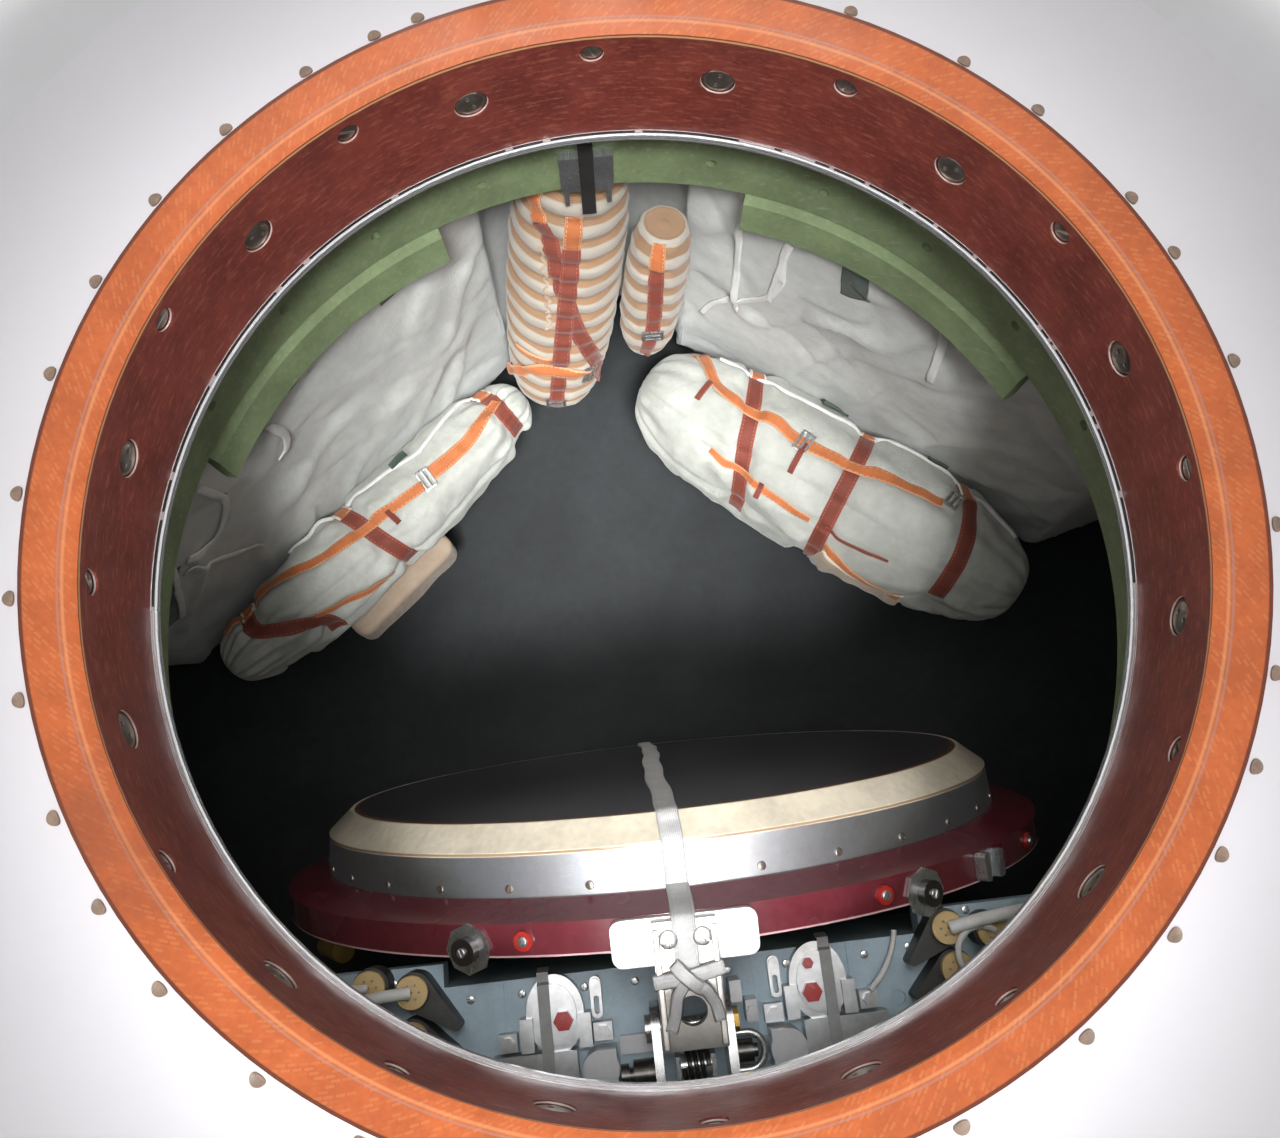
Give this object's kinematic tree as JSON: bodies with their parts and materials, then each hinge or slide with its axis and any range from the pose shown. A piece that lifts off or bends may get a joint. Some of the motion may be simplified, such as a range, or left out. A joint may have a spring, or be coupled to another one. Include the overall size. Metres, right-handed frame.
{
  "type": "crew hatch section of a descent capsule",
  "caption": "Round crew hatch section of a descent capsule: woven composite collar in a white deck, lid swung inward on its hinge, lined cabin with strapped bags.",
  "frame": {"origin": "middle of the aft ring's foot, on the hatch axis", "axes": "+Z along the hatch axis, out of the hatch; the hinge is at -Y"},
  "size_m": [1.5198, 1.5198, 0.936],
  "materials": {
    "arm_metal": "machined",
    "bag_stripe": "laced",
    "bag_white": "quilted",
    "bar_black": "matte",
    "bevel_cream": "satin",
    "bolt_red": "satin",
    "brass_valve": "polished",
    "cable_grey": "matte",
    "cable_white": "matte",
    "composite_brown": "woven phenolic laminate, satin",
    "connector_tan": "satin",
    "console_blue": "matte",
    "fitting_silver": "machined",
    "flange_maroon": "gloss",
    "lid_dark": "gloss",
    "liner_grey": "woven",
    "plate_white": "gloss",
    "pouch_tan": "woven",
    "primer_green": "matte primer",
    "rim_metal": "bright",
    "ring_alloy": "satin",
    "roller_black": "gloss",
    "shell_alloy": "matte",
    "skin_white": "satin",
    "skirt_silver": "bright",
    "spring_dark": "blackened",
    "steel_bright": "brushed",
    "strap_white": "webbing"
  },
  "bodies": {
    "section": {"aft_ring": "ring_alloy", "bag_clamp": "steel_bright", "bag_left": "bag_white", "bag_right": "bag_white", "bag_small": "bag_stripe", "bag_striped": "bag_stripe", "boots_left": "roller_black", "boots_right": "roller_black", "cabin_floor": "primer_green", "cables_left": "cable_white", "cables_right": "cable_white", "clamp_bar": "bar_black", "connectors_left": "connector_tan", "connectors_right": "connector_tan", "console": "console_blue", "cover_left": "liner_grey", "cover_right": "liner_grey", "fitting_bolts": "bolt_red", "fitting_left": "fitting_silver", "fitting_right": "fitting_silver", "fitting_straps": "cable_grey", "hatch_collar": "composite_brown", "hatch_frame": "ring_alloy", "hinge_base": "steel_bright", "hinge_locks": "spring_dark", "hinge_pin": "steel_bright", "hinge_posts": "plate_white", "hinge_shackle": "steel_bright", "hinge_spring": "spring_dark", "hold_downs": "fitting_silver", "inner_frame": "primer_green", "liner_ceiling": "liner_grey", "liner_wall": "liner_grey", "outer_deck": "skin_white", "outer_skin_1": "skin_white", "outer_skin_2": "skin_white", "outer_skin_3": "skin_white", "outer_skin_4": "skin_white", "pin_nut": "brass_valve", "pouch_left": "pouch_tan", "rib_left": "primer_green", "rib_right": "primer_green", "rim_ring": "rim_metal", "shell_crown": "shell_alloy", "shell_flank": "shell_alloy", "shell_wall": "shell_alloy", "stop_blocks": "plate_white"},
    "lid": {"hinge_arm": "arm_metal", "hinge_plate": "plate_white", "lid_bevel": "bevel_cream", "lid_bracket": "steel_bright", "lid_buttons": "bolt_red", "lid_disc": "lid_dark", "lid_flange": "flange_maroon", "lid_latches": "steel_bright", "lid_pan": "primer_green", "lid_rollers": "roller_black", "lid_skirt": "skirt_silver", "lid_strap": "strap_white", "lid_valve": "brass_valve"}
  },
  "joints": [
    {"name": "lid_hinge", "type": "hinge", "parent": "section", "child": "lid", "pos_m": [0, -0.3004, 0.7154], "axis": [1, 0, 0], "range_deg": [0, 80.5]}
  ]
}
